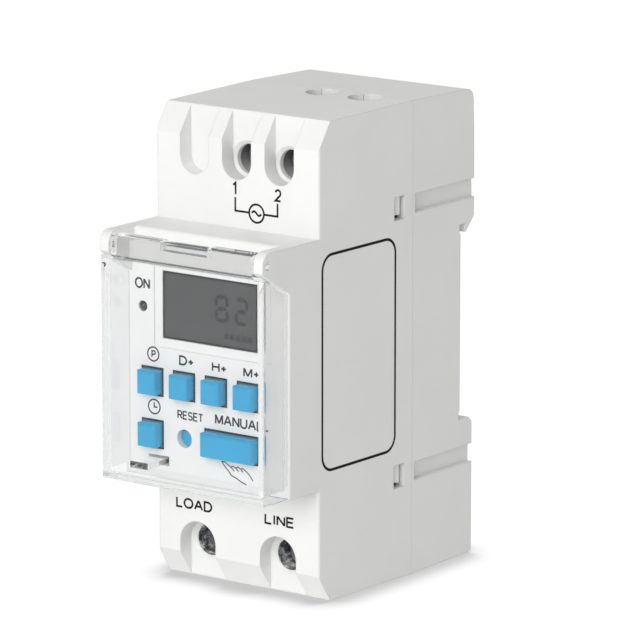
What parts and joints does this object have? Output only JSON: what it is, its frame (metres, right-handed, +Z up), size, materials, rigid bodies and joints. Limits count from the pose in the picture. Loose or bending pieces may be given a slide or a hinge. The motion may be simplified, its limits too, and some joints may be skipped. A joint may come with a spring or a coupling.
{
  "type": "din rail timer",
  "caption": "DIN-rail weekly time switch, two modules wide, with a display, push buttons, a hinged clear cover, a rail clip and screw terminals.",
  "frame": {"origin": "centre of the rail seat, midway across and up the case", "axes": "+X to the right seen from the front, -Y out of the front panel, +Y towards the rail, +Z up"},
  "size_m": [0.036, 0.0638, 0.0866],
  "materials": {
    "case_plastic": "fine moulded satin",
    "clear_cover": "polished clear",
    "button_blue": "smooth satin",
    "spring_steel": "drawn wire",
    "screw_steel": "zinc plated",
    "cage_steel": "zinc plated",
    "contact_brass": "rolled",
    "switch_metal": "pressed",
    "plunger_black": "moulded",
    "lcd_dark": "satin polariser",
    "strip_rubber": "matte",
    "led_red": "clear tinted",
    "board_green": "solder mask",
    "component_black": "moulded",
    "cell_steel": "nickel plated",
    "film_yellow": "dipped",
    "can_sleeve": "shrink sleeve",
    "varistor_blue": "dipped",
    "resistor_body": "lacquered"
  },
  "bodies": {
    "case": {"front_housing": "case_plastic", "rear_housing": "case_plastic", "clip_spring": "spring_steel", "switch_bodies": "switch_metal", "lcd_glass": "lcd_dark", "lcd_holder": "case_plastic", "contact_strips": "strip_rubber", "status_led": "led_red", "display_board": "board_green", "display_board_screws": "screw_steel", "controller_chip": "component_black", "crystal": "cell_steel", "backup_cell": "cell_steel", "board_header": "component_black", "main_board": "board_green", "main_board_screws": "screw_steel", "relay": "component_black", "film_capacitor": "film_yellow", "smoothing_capacitor": "can_sleeve", "varistor": "varistor_blue", "rectifier_diodes": "component_black", "dropper_resistor": "resistor_body", "contact_bar_1": "contact_brass", "contact_bar_2": "contact_brass", "contact_bar_load": "contact_brass", "contact_bar_line": "contact_brass"},
    "cover": {"cover": "clear_cover"},
    "clip": {"rail_clip": "case_plastic"},
    "key_program": {"button_program": "button_blue", "plunger_program": "plunger_black"},
    "key_day": {"button_day": "button_blue", "plunger_day": "plunger_black"},
    "key_hour": {"button_hour": "button_blue", "plunger_hour": "plunger_black"},
    "key_minute": {"button_minute": "button_blue", "plunger_minute": "plunger_black"},
    "key_clock": {"button_clock": "button_blue", "plunger_clock": "plunger_black"},
    "key_reset": {"button_reset": "button_blue", "plunger_reset": "plunger_black"},
    "key_manual": {"button_manual": "button_blue", "plunger_manual": "plunger_black"},
    "screw_1": {"terminal_screw_1": "screw_steel"},
    "cage_1": {"terminal_cage_1": "cage_steel"},
    "screw_2": {"terminal_screw_2": "screw_steel"},
    "cage_2": {"terminal_cage_2": "cage_steel"},
    "screw_load": {"terminal_screw_load": "screw_steel"},
    "cage_load": {"terminal_cage_load": "cage_steel"},
    "screw_line": {"terminal_screw_line": "screw_steel"},
    "cage_line": {"terminal_cage_line": "cage_steel"}
  },
  "joints": [
    {"name": "cover_hinge", "type": "hinge", "parent": "case", "child": "cover", "pos_m": [0, -0.0574, 0.0202], "axis": [-1, 0, 0], "range_deg": [0, 150]},
    {"name": "rail_clip_slide", "type": "slide", "parent": "case", "child": "clip", "axis": [0, 0, -1], "range_m": [0, 0.0035], "stiffness_N_per_m": 1200, "deforming": ["clip_spring"]},
    {"name": "program_press", "type": "slide", "parent": "case", "child": "key_program", "axis": [0, 1, 0], "range_m": [0, 0.0005], "stiffness_N_per_m": 2500},
    {"name": "day_press", "type": "slide", "parent": "case", "child": "key_day", "axis": [0, 1, 0], "range_m": [0, 0.0005], "stiffness_N_per_m": 2500},
    {"name": "hour_press", "type": "slide", "parent": "case", "child": "key_hour", "axis": [0, 1, 0], "range_m": [0, 0.0005], "stiffness_N_per_m": 2500},
    {"name": "minute_press", "type": "slide", "parent": "case", "child": "key_minute", "axis": [0, 1, 0], "range_m": [0, 0.0005], "stiffness_N_per_m": 2500},
    {"name": "clock_press", "type": "slide", "parent": "case", "child": "key_clock", "axis": [0, 1, 0], "range_m": [0, 0.0005], "stiffness_N_per_m": 2500},
    {"name": "reset_press", "type": "slide", "parent": "case", "child": "key_reset", "axis": [0, 1, 0], "range_m": [0, 0.0005], "stiffness_N_per_m": 2500},
    {"name": "manual_press", "type": "slide", "parent": "case", "child": "key_manual", "axis": [0, 1, 0], "range_m": [0, 0.0005], "stiffness_N_per_m": 2500},
    {"name": "screw_turn_1", "type": "hinge", "parent": "case", "child": "screw_1", "pos_m": [0, -0.03, 0.0343], "axis": [0, 1, 0], "range_deg": [0, 2890]},
    {"name": "cage_rise_1", "type": "slide", "parent": "case", "child": "cage_1", "axis": [0, -1, 0], "range_m": [0, 0.0056]},
    {"name": "screw_turn_2", "type": "hinge", "parent": "case", "child": "screw_2", "pos_m": [0.0094, -0.03, 0.0343], "axis": [0, 1, 0], "range_deg": [0, 2890]},
    {"name": "cage_rise_2", "type": "slide", "parent": "case", "child": "cage_2", "axis": [0, -1, 0], "range_m": [0, 0.0056]},
    {"name": "screw_turn_load", "type": "hinge", "parent": "case", "child": "screw_load", "pos_m": [-0.009, -0.03, -0.0361], "axis": [0, 1, 0], "range_deg": [0, 2890]},
    {"name": "cage_rise_load", "type": "slide", "parent": "case", "child": "cage_load", "axis": [0, -1, 0], "range_m": [0, 0.0056]},
    {"name": "screw_turn_line", "type": "hinge", "parent": "case", "child": "screw_line", "pos_m": [0.009, -0.03, -0.0361], "axis": [0, 1, 0], "range_deg": [0, 2890]},
    {"name": "cage_rise_line", "type": "slide", "parent": "case", "child": "cage_line", "axis": [0, -1, 0], "range_m": [0, 0.0056]}
  ],
  "couplings": [
    {"joint": "screw_turn_1", "follows": "cage_rise_1", "rad_per_m": 8976},
    {"joint": "screw_turn_2", "follows": "cage_rise_2", "rad_per_m": 8976},
    {"joint": "screw_turn_load", "follows": "cage_rise_load", "rad_per_m": 8976},
    {"joint": "screw_turn_line", "follows": "cage_rise_line", "rad_per_m": 8976}
  ]
}
